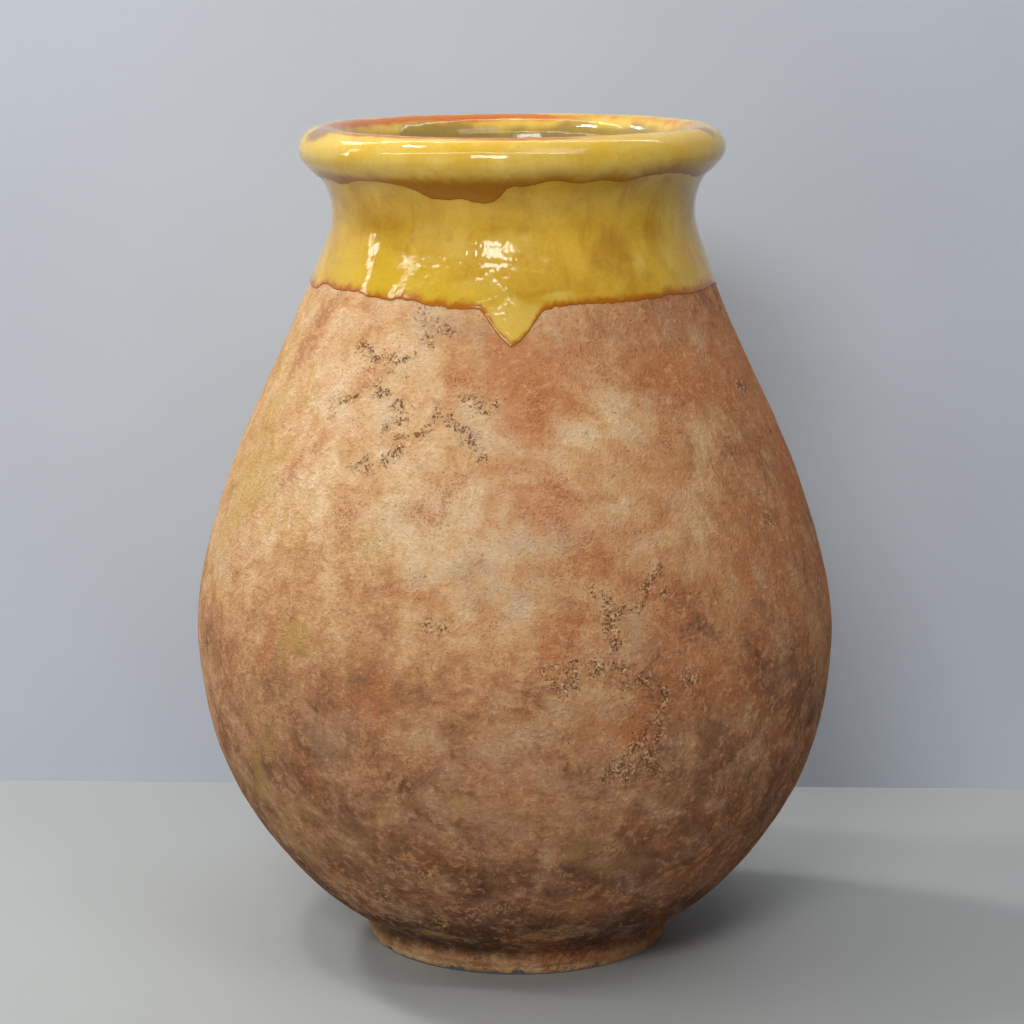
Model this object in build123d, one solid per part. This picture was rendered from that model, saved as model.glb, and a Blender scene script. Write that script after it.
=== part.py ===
from build123d import *
from math import cos, pi, radians, sin
import os

# Driving dimensions of the whole jar.
height = 800
belly_radius = 310
belly_height = 312
neck_radius = 170.3
neck_drop = 84
rim_overhang = 28.9
rim_drop = 22
crest_overhang = 7.7
foot_radius = 148.5
foot_height = 23
crease_depth = 2.5
wall = 16
glaze = 1.2

# The underside of the foot, and the rounded edge that it stands on.
dish_radius = 114
dish_depth = 4
foot_edge = 5

# The wall's slope where it leaves the foot, and the depth of the rounded mouth.
rise_angle = 31
mouth_depth = 27

# Where one thrown section was luted to the next: two seams measured from the belly, two from the neck.
lower_seam_drop = 97
upper_seam_rise = 118
shoulder_seam_drop = 76
neck_seam_rise = 20

# The ridge that keys a seam, and how far a cut runs past the clay.
seam_ridge = 5
overrun = 12

# The lower edge of the neck glaze, measured down from the neck, with its pointed tongue in front.
neck_edge_drop = 66
neck_edge_swing = 12
tongue_length = 36
tongue_angle = 8.2

# The lobed lower edge of the second coat, measured down from the widest part of the rim.
lobe_edge_drop = 21
lobe_edge_swing = 16

# Outlines between two driving points, as shares of the radius and of the height between them.
foot_side_shares = [(0.55, 0.45)]
lower_wall_shares = [
    (0.212, 0.076), (0.389, 0.163), (0.575, 0.284), (0.758, 0.439), (0.904, 0.630), (0.980, 0.837),
]
upper_wall_shares = [
    (0.080, 0.193), (0.222, 0.354), (0.413, 0.515), (0.617, 0.663), (0.796, 0.800), (0.928, 0.911),
]
collar_shares = [(0.075, 0.306), (0.345, 0.581), (0.765, 0.790)]

# Glaze edges: the share of a turn round from the front, and the share of the swing above the mean height.
neck_edge_shares = [
    (0.029, -0.27), (0.051, -0.05), (0.074, -0.10), (0.115, 0), (0.139, 0.05), (0.172, -0.06),
    (0.217, 0.07), (0.250, -0.30), (0.290, 0.25), (0.330, 0.55), (0.370, 0.10), (0.410, -0.35),
    (0.450, -0.10), (0.490, 0.40), (0.530, 0.20), (0.570, -0.45), (0.610, -0.20), (0.650, 0.30),
    (0.690, 0.05), (0.730, -0.35), (0.762, 0.10), (0.798, -0.08), (0.820, 0.52), (0.838, 0.27),
    (0.863, 0.42), (0.880, 0.17), (0.896, 0.02), (0.915, 0.18), (0.934, -0.12), (0.949, -0.28),
    (0.965, -0.38),
]
lobe_edge_shares = [
    (0.009, -0.05), (0.031, 0.27), (0.053, 0.08), (0.068, 0.22), (0.090, 0.06), (0.105, 0.30),
    (0.130, 0.35), (0.155, 0.22), (0.190, -0.15), (0.225, 0.05), (0.270, 0.30), (0.310, -0.30),
    (0.350, -0.55), (0.390, 0.10), (0.430, 0.35), (0.470, 0.10), (0.510, -0.40), (0.550, -0.65),
    (0.585, -0.10), (0.630, 0.30), (0.670, 0.15), (0.710, -0.25), (0.750, 0.05), (0.785, -0.17),
    (0.815, -0.12), (0.838, -0.29), (0.862, 0.01), (0.892, 0.08), (0.918, -0.31), (0.932, -0.80),
    (0.945, -0.88), (0.958, -0.80), (0.977, -1.04), (0.987, -0.84), (0.996, -0.18),
]

# Each side of the tongue from its shoulder down to its tip: shares of its half width and of its length.
tongue_shares = [(1, 0.15), (0.80, 0.33), (0.58, 0.55), (0.34, 0.79), (0, 1)]

# Sizes that follow from the driving ones.
crease_radius = foot_radius - crease_depth
neck_height = height - neck_drop
rim_height = height - rim_drop
rim_radius = neck_radius + rim_overhang
crest_radius = neck_radius + crest_overhang
neck_edge_height = neck_height - neck_edge_drop
lobe_edge_height = rim_height - lobe_edge_drop
throat_radius = neck_radius - wall
clay_top = height - 2 * glaze
mouth_height = clay_top - mouth_depth

# How many points carry a curve drawn beside another, and how often a search halves its range.
parallel_points = 12
halvings = 40


def at(radius, level):
    return Vector(radius, 0, level)


def between(start, end, shares):
    span = end - start
    return [at(start.X + span.X * across, start.Z + span.Z * up) for across, up in shares]


def outward(edge, share):
    # The outline runs upwards, so its right-hand side is the outside of the wall.
    along = edge % share
    return at(along.Z, -along.X)


def parallel(edge, distance):
    shares = [step / parallel_points for step in range(parallel_points + 1)]
    points = [edge @ share + outward(edge, share) * distance for share in shares]
    return Spline(points, tangents=[edge % 0, edge % 1])


def quarter(start, end, centre, tangents):
    # A quarter of an ellipse about its centre.
    middle = centre + (start - centre + end - centre) * sin(radians(45))
    return Spline(start, middle, end, tangents=tangents)


def share_at(edge, level):
    # How far along a rising curve it passes a level.
    low, high = 0, 1
    for _ in range(halvings):
        middle = (low + high) / 2
        if (edge @ middle).Z < level:
            low = middle
        else:
            high = middle
    return low


# The outline of the clay, from the middle of the underside to the mouth.
upright = Vector(0, 0, 1)
inwards = Vector(-1, 0, 0)
rise = at(cos(radians(rise_angle)), sin(radians(rise_angle)))
underside = at(0, dish_depth)
dish_edge = at(dish_radius, 0)
standing_edge = at(foot_radius - foot_edge, 0)
foot_side = at(foot_radius, foot_edge)
crease = at(crease_radius, foot_height)
belly = at(belly_radius, belly_height)
neck = at(neck_radius, neck_height)
rim = at(rim_radius, rim_height)
crest = at(crest_radius, clay_top)
mouth = at(throat_radius, mouth_height)

dish_curve = Spline(underside, dish_edge, tangents=[-inwards, dish_edge - underside])
standing_line = Line(dish_edge, standing_edge)
edge_arc = TangentArc(standing_edge, foot_side, tangent=-inwards)
foot_points = [foot_side, *between(foot_side, crease, foot_side_shares), crease]
foot_curve = Spline(foot_points, tangents=[upright, upright])
lower_curve = Spline(crease, *between(crease, belly, lower_wall_shares), belly, tangents=[rise, upright])
upper_curve = Spline(belly, *between(belly, neck, upper_wall_shares), neck, tangents=[upright, upright])
collar_curve = Spline(neck, *between(neck, rim, collar_shares), rim, tangents=[upright, upright])
roll_curve = quarter(rim, crest, at(crest_radius, rim_height), [upright, inwards])
mouth_curve = quarter(crest, mouth, at(crest_radius, mouth_height), [inwards, -upright])


# The inside, one wall away from the outside, down to the floor on top of the slab.
def inside_outline(depth, floor):
    upper = parallel(upper_curve, -depth)
    lower = parallel(lower_curve, -depth)
    corner = lower @ 0
    floor_edge = at(corner.X - (corner.Z - floor) * rise.X / rise.Z, floor)
    throat_line = Line(upper @ 1, at(neck_radius - depth, mouth_height))
    return [throat_line, upper, lower, Line(floor_edge, corner), Line(at(0, floor), floor_edge)]


clay_inside = inside_outline(wall, foot_height)
floor_edge = clay_inside[-1] @ 1
foot_outline = [dish_curve, standing_line, edge_arc, foot_curve]
wall_outline = [lower_curve, upper_curve, collar_curve, roll_curve, mouth_curve]
axis_line = Line(underside, at(0, foot_height))
clay_face = make_face([*foot_outline, *wall_outline, *clay_inside, axis_line])


def wall_seam(edge, level):
    # A seam square to the wall, with a ridge halfway through it, drawn from the outside in.
    share = share_at(edge, level)
    start = edge @ share
    out = outward(edge, share)
    ridge = start - out * wall / 2 + (edge % share) * seam_ridge
    return [start + out * overrun, ridge, start - out * (wall + overrun)]


def seam_line(points):
    # Carried outwards past the belly and inwards to the axis, clear of the clay.
    return [at(belly_radius + overrun, points[0].Z), *points, at(0, points[-1].Z)]


def section(lower_seam, upper_seam):
    zone = make_face(Polyline(*lower_seam, *reversed(upper_seam), close=True))
    return revolve(clay_face & zone, Axis.Z)


slab_seam = [crease, at((crease.X + floor_edge.X) / 2, foot_height + seam_ridge), floor_edge]
seams = [
    [at(belly_radius + overrun, -overrun), at(0, -overrun)],
    seam_line(slab_seam),
    seam_line(wall_seam(lower_curve, belly_height - lower_seam_drop)),
    seam_line(wall_seam(upper_curve, belly_height + upper_seam_rise)),
    seam_line(wall_seam(upper_curve, neck_height - shoulder_seam_drop)),
    seam_line(wall_seam(collar_curve, neck_height + neck_seam_rise)),
    [at(belly_radius + overrun, height), at(0, height)],
]
section_names = ["foot_slab", "lower_belly", "upper_belly", "shoulder", "neck_collar", "rim_roll"]
nodes = {name: section(*pair) for name, pair in zip(section_names, zip(seams, seams[1:]))}


def coat(curves):
    # A coat of glaze on the surface that the curves draw, and the curves of its own surface.
    over = [parallel(curve, glaze) for curve in curves]
    ends = [Line(curves[0] @ 0, over[0] @ 0), Line(curves[-1] @ 1, over[-1] @ 1)]
    return over, revolve(make_face([*curves, *over, *ends]), Axis.Z)


def from_level(edge, level):
    return edge.trim(share_at(edge, level), 1)


def edge_curve(places, radius, closed):
    # Each place is a share of a turn, from the front at -Y towards +X, and a height.
    points = [(radius * sin(2 * pi * turn), -radius * cos(2 * pi * turn), level) for turn, level in places]
    return Spline(points, periodic=closed)


def below_edge(places, closed=False):
    # All that lies below a wavy edge, as a ring that spans the wall.
    near, far = (edge_curve(places, radius, closed) for radius in (throat_radius, belly_radius))
    return Solid.extrude(Face.make_surface_from_curves(near, far), Vector(0, 0, belly_height - neck_height))


def levels(shares, height_of_edge, swing):
    return [(turn, height_of_edge + swing * share) for turn, share in shares]


tongue_side = [
    (across * tongue_angle / 360, neck_edge_height - down * tongue_length) for across, down in tongue_shares
]
tongue_other_side = [(1 - turn, level) for turn, level in tongue_side]
round_edge = levels(neck_edge_shares, neck_edge_height, neck_edge_swing)
neck_edges = [[tongue_side[0], *round_edge, tongue_other_side[0]], tongue_side, tongue_other_side]

neck_start = from_level(upper_curve, neck_edge_height - tongue_length - overrun)
neck_over, neck_glaze = coat([neck_start, collar_curve, roll_curve, mouth_curve])
for places in neck_edges:
    neck_glaze = neck_glaze - below_edge(places)
nodes["neck_glaze"] = neck_glaze

lobe_start = from_level(neck_over[1], lobe_edge_height - lobe_edge_swing - overrun)
rim_glaze = coat([lobe_start, *neck_over[2:]])[1]
lobe_edge = levels(lobe_edge_shares, lobe_edge_height, lobe_edge_swing)
nodes["rim_glaze"] = rim_glaze - below_edge(lobe_edge, closed=True)

lining_inside = inside_outline(wall + glaze, foot_height + glaze)
lining_top = Line(clay_inside[0] @ 1, lining_inside[0] @ 1)
lining_axis = Line(clay_inside[-1] @ 0, lining_inside[-1] @ 0)
nodes["inner_glaze"] = revolve(make_face([*clay_inside, *lining_inside, lining_top, lining_axis]), Axis.Z)

os.makedirs("parts", exist_ok=True)
for name, solid in nodes.items():
    solid.label = name
    export_step(solid, f"parts/{name}.step")
    print(name, round(solid.volume), solid.is_valid)
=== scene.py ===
import bpy
import numpy as np
from math import cos, degrees, pi, radians, sin
from mathutils import Matrix, Vector


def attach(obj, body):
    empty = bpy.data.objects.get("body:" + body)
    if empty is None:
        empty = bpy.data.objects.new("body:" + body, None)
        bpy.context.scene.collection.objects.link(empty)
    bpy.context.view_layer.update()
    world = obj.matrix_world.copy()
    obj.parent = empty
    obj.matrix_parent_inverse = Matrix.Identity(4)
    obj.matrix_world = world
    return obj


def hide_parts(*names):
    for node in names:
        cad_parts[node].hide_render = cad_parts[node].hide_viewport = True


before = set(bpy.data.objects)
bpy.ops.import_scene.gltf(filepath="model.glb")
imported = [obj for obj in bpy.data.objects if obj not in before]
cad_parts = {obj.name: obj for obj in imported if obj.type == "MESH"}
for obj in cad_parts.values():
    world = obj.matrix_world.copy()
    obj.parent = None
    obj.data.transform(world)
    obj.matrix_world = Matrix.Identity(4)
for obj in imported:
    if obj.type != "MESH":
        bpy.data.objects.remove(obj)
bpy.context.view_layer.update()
print("frame loaded:", ", ".join(sorted(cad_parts)))

mm = 0.001

# The thrown jar, from the floor up, in metres. Heights are taken from the floor.
jar = {
    "height": 0.800,
    "bellyRadius": 0.310, "bellyHeight": 0.312,
    "neckRadius": 0.1728, "neckHeight": 0.716,
    "rimRadius": 0.2018, "rimHeight": 0.778,
    "crestRadius": 0.1815, "mouthDepth": 0.027,
    "footRadius": 0.1505, "footHeight": 0.023, "creaseRadius": 0.1478,
    "dishRadius": 0.114, "dishDepth": 0.004, "footEdge": 0.006, "footBatter": 0.0030,
    "wall": 0.016, "coat": 0.0012, "riseAngle": 31,
    "floorEdge": 0.115,
    "seams": [0.215, 0.430, 0.640, 0.736], "seamRidge": 0.005,
    "creaseSoftness": 0.006,
    "columns": 1440, "rowStep": 0.00135, "innerStep": 0.045,
    "lineStep": 0.0002, "arcPoints": 160,
    "coatEnd": 0.0375,  # how far over the crest the outer coats run
    # points between crease and belly, belly and neck, neck and rim: shares of the way across and up
    "lowerWall": [(0.212, 0.076), (0.389, 0.163), (0.575, 0.284), (0.758, 0.439), (0.904, 0.630),
                  (0.980, 0.837)],
    "upperWall": [(0.080, 0.193), (0.222, 0.354), (0.413, 0.515), (0.617, 0.663), (0.796, 0.800),
                  (0.928, 0.911)],
    "collar": [(0.075, 0.306), (0.345, 0.581), (0.765, 0.790)],
    # where the dish and the foot's side bend: shares of radius, depth and height
    "dishBend": (0.70, 0.72), "footBend": 0.62,
}

# How the jar stands a little out of true: the lean at a few heights, and the rim lower on its left.
settling = {
    "heights": [0, 0.312, 0.620, 0.700, 0.800], "leans": [0.0036, 0, -0.0030, -0.0012, -0.0026],
    "rimTilt": 0.007, "tiltFrom": 0.60, "tiltTo": 0.77, "rimDrop": 0.0007,
}


def eased(low, high, value):
    share = np.clip((value - low) / (high - low), 0, 1)
    return share * share * (3 - 2 * share)


def onCurve(share, gap, places, ways, i):
    # The curve from place i to the next, which leaves and arrives along their ways.
    rest = 1 - share
    return ((1 + 2 * share) * rest ** 2 * places[i] + share * rest ** 2 * gap * ways[i]
            + share ** 2 * (3 - 2 * share) * places[i + 1] - share ** 2 * rest * gap * ways[i + 1])


def smoothCurve(points, startWay, endWay):
    # A smooth curve through the points that leaves and arrives along the given ways.
    points = np.array(points, float)
    marks = np.concatenate([[0], np.cumsum(np.hypot(*np.diff(points, axis=0).T))])
    gaps = np.diff(marks)
    count = len(points)
    system = np.eye(count)
    wanted = np.zeros((count, 2))
    wanted[0], wanted[-1] = startWay, endWay
    for i in range(1, count - 1):
        system[i, i - 1:i + 2] = gaps[i], 2 * (gaps[i - 1] + gaps[i]), gaps[i - 1]
        before = (points[i] - points[i - 1]) / gaps[i - 1]
        after = (points[i + 1] - points[i]) / gaps[i]
        wanted[i] = 3 * (gaps[i] * before + gaps[i - 1] * after)
    ways = np.linalg.solve(system, wanted)
    at = np.linspace(0, marks[-1], int(marks[-1] / jar["lineStep"]) + 2)
    i = np.clip(np.searchsorted(marks, at, side="right") - 1, 0, count - 2)
    g = gaps[i][:, None]
    return onCurve((at - marks[i])[:, None] / g, g, points, ways, i)


def between(start, end, shares):
    (startX, startZ), (endX, endZ) = start, end
    return [(startX + (endX - startX) * across, startZ + (endZ - startZ) * up) for across, up in shares]


def quarterRound(centre, across, up, firstTurn, lastTurn):
    turns = np.radians(np.linspace(firstTurn, lastTurn, jar["arcPoints"]))
    return np.stack([centre[0] + across * np.cos(turns), centre[1] + up * np.sin(turns)], axis=1)


def drawOutline():
    # From the middle of the underside out to the foot, up the wall, over the rim and down the throat.
    up, rise = (0, 1), (cos(radians(jar["riseAngle"])), sin(radians(jar["riseAngle"])))
    clayTop = jar["height"] - 2 * jar["coat"]
    mouthHeight = clayTop - jar["mouthDepth"]
    throatRadius = jar["neckRadius"] - jar["wall"]
    standing = jar["footRadius"] - jar["footBatter"]
    edge = jar["footEdge"]
    crease = (jar["creaseRadius"], jar["footHeight"])
    belly = (jar["bellyRadius"], jar["bellyHeight"])
    neck = (jar["neckRadius"], jar["neckHeight"])
    rim = (jar["rimRadius"], jar["rimHeight"])
    dishAcross, dishUp = jar["dishBend"]
    underside = smoothCurve([(0, jar["dishDepth"]), (jar["dishRadius"] * dishAcross, jar["dishDepth"] * dishUp),
                             (jar["dishRadius"], 0)], (1, 0), (1, 0))
    footBend = (jar["footRadius"], jar["footHeight"] * jar["footBend"])
    footSide = smoothCurve([(standing, edge), footBend, crease], up, up)
    lower = smoothCurve([crease, *between(crease, belly, jar["lowerWall"]), belly], rise, up)
    upper = smoothCurve([belly, *between(belly, neck, jar["upperWall"]), neck], up, up)
    collar = smoothCurve([neck, *between(neck, rim, jar["collar"]), rim], up, up)
    roll = quarterRound((jar["crestRadius"], jar["rimHeight"]), jar["rimRadius"] - jar["crestRadius"],
                        clayTop - jar["rimHeight"], 0, 90)
    mouth = quarterRound((jar["crestRadius"], mouthHeight), jar["crestRadius"] - throatRadius,
                         jar["mouthDepth"], 90, 180)
    footArc = quarterRound((standing - edge, edge), edge, edge, -90, 0)
    throat = np.array([(throatRadius, mouthHeight), (throatRadius, jar["neckHeight"])])
    line = np.concatenate([underside, footArc, footSide, lower, upper, collar, roll, mouth, throat])
    steps = np.hypot(*np.diff(line, axis=0).T)
    line = line[np.concatenate([[True], steps > 1e-7])]
    reach = np.concatenate([[0], np.cumsum(np.hypot(*np.diff(line, axis=0).T))])
    even = np.arange(0, reach[-1], jar["lineStep"])
    radius, level = (np.interp(even, reach, line[:, k]) for k in (0, 1))
    # the crease above the foot is wiped into a soft hollow
    span = int(jar["creaseSoftness"] / jar["lineStep"])
    window = np.hanning(2 * span + 1)
    window /= window.sum()
    near = np.exp(-(np.hypot(radius - crease[0], level - crease[1]) / (1.6 * jar["creaseSoftness"])) ** 2)
    for row in (radius, level):
        soft = np.convolve(np.pad(row, span, mode="edge"), window, mode="valid")
        row += (soft - row) * near
    alongR, alongZ = np.gradient(radius), np.gradient(level)
    length = np.hypot(alongR, alongZ)
    return {"reach": even, "radius": radius, "level": level, "outR": alongZ / length, "outZ": -alongR / length}


outline = drawOutline()
beltStart = np.argmax(outline["level"] > jar["footHeight"])
beltEnd = np.argmax(outline["level"] > jar["rimHeight"])
crestIndex = np.argmax(outline["level"])


def reachAt(level):
    # How far along the outline the outside of the wall passes a level.
    span = slice(beltStart - 1, beltEnd + 1)
    return np.interp(level, outline["level"][span], outline["reach"][span])


creaseReach = reachAt(jar["footHeight"])
mouthReach = outline["reach"][crestIndex] + jar["coatEnd"]
print("outline drawn, %.0f mm long" % (outline["reach"][-1] / mm))


def onOutline(what, reach):
    return np.interp(reach, outline["reach"], outline[what])


def placed(turn, reach, offset):
    # Points on the jar: turn in radians from the front, reach along the outline, offset outwards.
    radius = onOutline("radius", reach) + onOutline("outR", reach) * offset
    level = onOutline("level", reach) + onOutline("outZ", reach) * offset
    return np.stack(np.broadcast_arrays(radius * np.sin(turn), -radius * np.cos(turn), level), axis=-1)


def ringAt(turn, reach, offset):
    # One ring on the jar.
    return placed(turn, np.array([[reach]]), offset + 0 * turn)


def settled(points):
    # Leans the jar and drops the left of its rim, as the fired one stands.
    x, z = points[..., 0], points[..., 2]
    share = eased(settling["tiltFrom"], settling["tiltTo"], z)
    moved = points.copy()
    moved[..., 0] += np.interp(z, settling["heights"], settling["leans"])
    moved[..., 2] += share * (x * settling["rimTilt"] - settling["rimDrop"])
    return moved


# Noise in space from one fixed seed. The stride keeps its uses apart, the gain brings it to about -1 to 1.
noise = {"seed": 41, "stride": 13.71, "gain": 1.6}
chance = np.random.default_rng(noise["seed"])
shuffled = np.tile(chance.permutation(256), 2)
slants = chance.normal(size=(256, 3))
slants /= np.linalg.norm(slants, axis=1)[:, None]


def cloud(points, size, seed):
    # Soft lumps of about the given size, from about -1 to 1, in space, so they run on round the jar.
    spot = (points / size + seed * noise["stride"]).reshape(-1, 3)
    cell = np.floor(spot).astype(np.int64)
    part = spot - cell
    ease = part ** 3 * (part * (part * 6 - 15) + 10)
    total = np.zeros(len(spot))
    for dx in (0, 1):
        for dy in (0, 1):
            for dz in (0, 1):
                row = shuffled[(cell[:, 0] + dx) & 255] + ((cell[:, 1] + dy) & 255)
                pick = shuffled[shuffled[row] + ((cell[:, 2] + dz) & 255)]
                slant = slants[pick]
                dot = (slant[:, 0] * (part[:, 0] - dx) + slant[:, 1] * (part[:, 1] - dy)
                       + slant[:, 2] * (part[:, 2] - dz))
                share = ((ease[:, 0] if dx else 1 - ease[:, 0]) * (ease[:, 1] if dy else 1 - ease[:, 1])
                         * (ease[:, 2] if dz else 1 - ease[:, 2]))
                total += share * dot
    return (total * noise["gain"]).reshape(points.shape[:-1])


def clouds(points, layers, seed):
    # Several clouds in one, each a size and a swing.
    return sum(cloud(points, size, seed + k) * swing for k, (size, swing) in enumerate(layers))


def aroundFrom(points, markAngle, markLevel):
    # How far each point lies from a mark, in mm round the jar and up it.
    angle = np.degrees(np.arctan2(points[..., 0], -points[..., 1]))
    aside = (angle - markAngle + 180) % 360 - 180
    return np.radians(aside) * np.hypot(points[..., 0], points[..., 1]) / mm, points[..., 2] / mm - markLevel


def spotted(points, marks, wander, feather=0.45):
    # How strongly the given marks cover the points. A mark is an angle from the front, a height,
    # half its width and half its height in mm, and a strength.
    bare = np.ones(points.shape[:-1])
    for markAngle, markLevel, halfWidth, halfHeight, strength in marks:
        across, up = aroundFrom(points, markAngle, markLevel)
        away = np.hypot((across + wander[0]) / halfWidth, (up + wander[1]) / halfHeight)
        bare *= 1 - strength * (1 - eased(1 - feather, 1 + feather, away))
    return 1 - bare


# How a trail fades sideways: shares of half its width, and mm.
trailEdge = {"core": 0.3, "fringe": 2.3, "fade": 5, "reach": 3, "margin": 16}


def trailed(points, trails, wander):
    # How near the points are to trails. A trail is half its width in mm, then the angles and heights
    # that it passes.
    closeness = np.zeros(points.shape[:-1])
    for halfWidth, stops in trails:
        middleAngle, middleLevel = np.mean(stops, axis=0)
        farAngle, farLevel = np.abs(np.array(stops) - (middleAngle, middleLevel)).max(axis=0)
        across, up = aroundFrom(points, middleAngle, middleLevel)
        border = trailEdge["reach"] * halfWidth + trailEdge["margin"]
        wide = border + radians(farAngle) * jar["bellyRadius"] / mm
        near = (np.abs(up) < border + farLevel) & (np.abs(across) < wide)
        if not near.any():
            continue
        across, up = across[near] + wander[0][near], up[near] + wander[1][near]
        scale = np.radians(1) * np.hypot(points[near][:, 0], points[near][:, 1]) / mm
        nearest = np.full(len(across), 1e3)
        for (fromAngle, fromLevel), (toAngle, toLevel) in zip(stops, stops[1:]):
            startX, startY = (fromAngle - middleAngle) * scale, fromLevel - middleLevel
            wayX, wayY = (toAngle - fromAngle) * scale, toLevel - fromLevel
            along = ((across - startX) * wayX + (up - startY) * wayY) / np.maximum(wayX ** 2 + wayY ** 2, 1e-6)
            along = np.clip(along, 0, 1)
            nearest = np.minimum(nearest, np.hypot(across - startX - along * wayX, up - startY - along * wayY))
        fringe = trailEdge["fringe"] * halfWidth + trailEdge["fade"]
        closeness[near] = np.maximum(closeness[near], 1 - eased(trailEdge["core"] * halfWidth, fringe, nearest))
    return closeness


def wandering(points, wide, fine, seed):
    # How far, in mm, the edges of marks stray sideways and up.
    return [cloud(points, 0.055, seed + k) * wide + cloud(points, 0.016, seed + 2 + k) * fine for k in (0, 1)]


def scatteredMarks(count, seed, width, height, strength, firstAngle=78, lastAngle=282, levels=(50, 640)):
    # Marks for the sides and the back, drawn once from a fixed seed.
    draw = np.random.default_rng(seed)
    return [(draw.uniform(firstAngle, lastAngle), draw.uniform(*levels), draw.uniform(*width),
             draw.uniform(*height), draw.uniform(*strength)) for one in range(count)]


# The skin of the clay: lumps left by the hands, faint turning lines, a gritty grain and torn pits.
claySkin = {
    "inset": 0.0005,
    "lump": 0.0007, "lumpSize": 0.19,
    "hand": 0.00042, "handSize": 0.055,
    "line": 0.00018, "lineSize": 0.011,
    "grain": 0.00015, "grainSizes": [0.0052, 0.01404],
    "wander": [(0.017, 3.5), (0.006, 2.2)],  # size in metres, swing in mm
    "tornPatch": 0.013, "tornGaps": (-0.75, 0.25), "tornGrain": 0.00040, "tornGrainSize": 0.0034,
    "pitDepth": 0.0006, "pitSize": 0.0032, "pitFrom": (0.95, 1.25), "smallPits": 0.6,
    "pitTorn": 0.62, "pitClumps": 0.45, "clumpSize": 0.010,
    "backTrails": 42, "backSeed": 5,
    # half width in mm, then angle from the front and height in mm along the trail
    "trails": [
        (4.5, [(-34.9, 596), (-31.4, 601), (-31.2, 590), (-33.1, 585)]), (1.5, [(-29.0, 600), (-24.5, 603)]),
        (2, [(-25.6, 590), (-25.0, 588)]), (3, [(-33.0, 574), (-27.9, 563), (-24.1, 559)]),
        (2.5, [(-42.0, 559), (-37.3, 567)]), (2, [(-44.1, 550), (-42.5, 547)]),
        (2.5, [(-28.1, 540), (-27.6, 544), (-23.6, 549)]), (1.5, [(-25.2, 536), (-19.2, 536), (-16.7, 559)]),
        (3.5, [(-33.7, 509), (-31.0, 510)]), (3, [(-27.0, 513), (-24.2, 522)]),
        (3, [(-13.7, 551), (-10.6, 541), (-7.4, 529), (-6.0, 521)]),
        (1.5, [(-12.0, 571), (-9.2, 572), (-6.9, 571)]), (3, [(-7.9, 563), (-3.9, 563)]),
        (3, [(-25.6, 613), (-24.3, 609)]), (2.5, [(-40.8, 608), (-37.0, 606)]),
        (3, [(-24.4, 641), (-23.4, 634)]), (3, [(-18.8, 631), (-16.5, 627)]), (2, [(-22.1, 620), (-20.6, 617)]),
        (4, [(26.0, 417), (24.5, 407), (23.0, 399)]), (3, [(26.5, 402), (26.9, 401)]),
        (2.5, [(21.7, 391), (24.1, 391)]), (3, [(19.4, 388), (17.8, 383)]),
        (3.5, [(16.4, 398), (16.5, 374), (17.1, 356), (17.2, 338), (18.7, 314)]),
        (6, [(16.8, 342), (17.3, 335)]), (3, [(13.0, 408), (13.3, 406)]),
        (3, [(21.5, 328), (25.6, 307), (25.3, 292), (24.6, 272)]),
        (3.5, [(22.8, 281), (20.1, 265), (16.7, 249), (15.7, 236)]), (6, [(17.8, 245), (19.3, 238)]),
        (4, [(23.1, 255), (24.5, 243), (27.0, 233)]), (4, [(4.7, 336), (8.8, 343), (14.2, 338)]),
        (7, [(7.1, 329), (8.8, 327)]), (4, [(30.2, 325), (30.8, 321)]),
        (3, [(-26.8, 140), (-24.9, 138), (-23.0, 130)]), (4, [(-19.2, 135), (-18.5, 132)]),
        (3, [(-29.2, 105), (-33.5, 91)]), (3, [(-26.5, 70), (-22.2, 66), (-19.5, 65)]),
        (3, [(-11.8, 87), (-7.6, 91), (-2.2, 99)]), (2, [(-41.8, 101), (-39.3, 89)]),
        (2.5, [(65.1, 565), (68.6, 559)]), (3, [(72.8, 517), (71.9, 508)]), (2.5, [(55.5, 451), (56.9, 443)]),
        (3.5, [(-15.0, 379), (-12.3, 375)]), (2, [(-72.0, 321), (-70.4, 317)]),
    ],
}


def wanderingTrails(count, seed):
    # Trails for the sides and the back, drawn once from a fixed seed.
    draw = np.random.default_rng(seed)
    trails = []
    for trail in range(count):
        angle, level = draw.uniform(80, 280), draw.uniform(60, 635)
        heading = draw.uniform(0, 2 * pi)
        stops = [(angle, level)]
        for bend in range(int(draw.integers(1, 5))):
            heading += draw.normal(0, 0.7)
            stride = draw.uniform(5, 17)
            angle, level = angle + degrees(stride * cos(heading) / 260), level + stride * sin(heading)
            stops.append((angle, min(level, jar["seams"][2] / mm)))
        trails.append((draw.uniform(2, 6), stops))
    return trails


allTrails = claySkin["trails"] + wanderingTrails(claySkin["backTrails"], claySkin["backSeed"])


def clayShape(points):
    # The clay's broad form, which shows through the glaze as well.
    skin = claySkin
    lumps = cloud(points * (1, 1, 1.4), skin["lumpSize"], 1) * skin["lump"]
    hands = cloud(points * (1, 1, 1.8), skin["handSize"], 2) * skin["hand"]
    return lumps + hands - skin["inset"]


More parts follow.
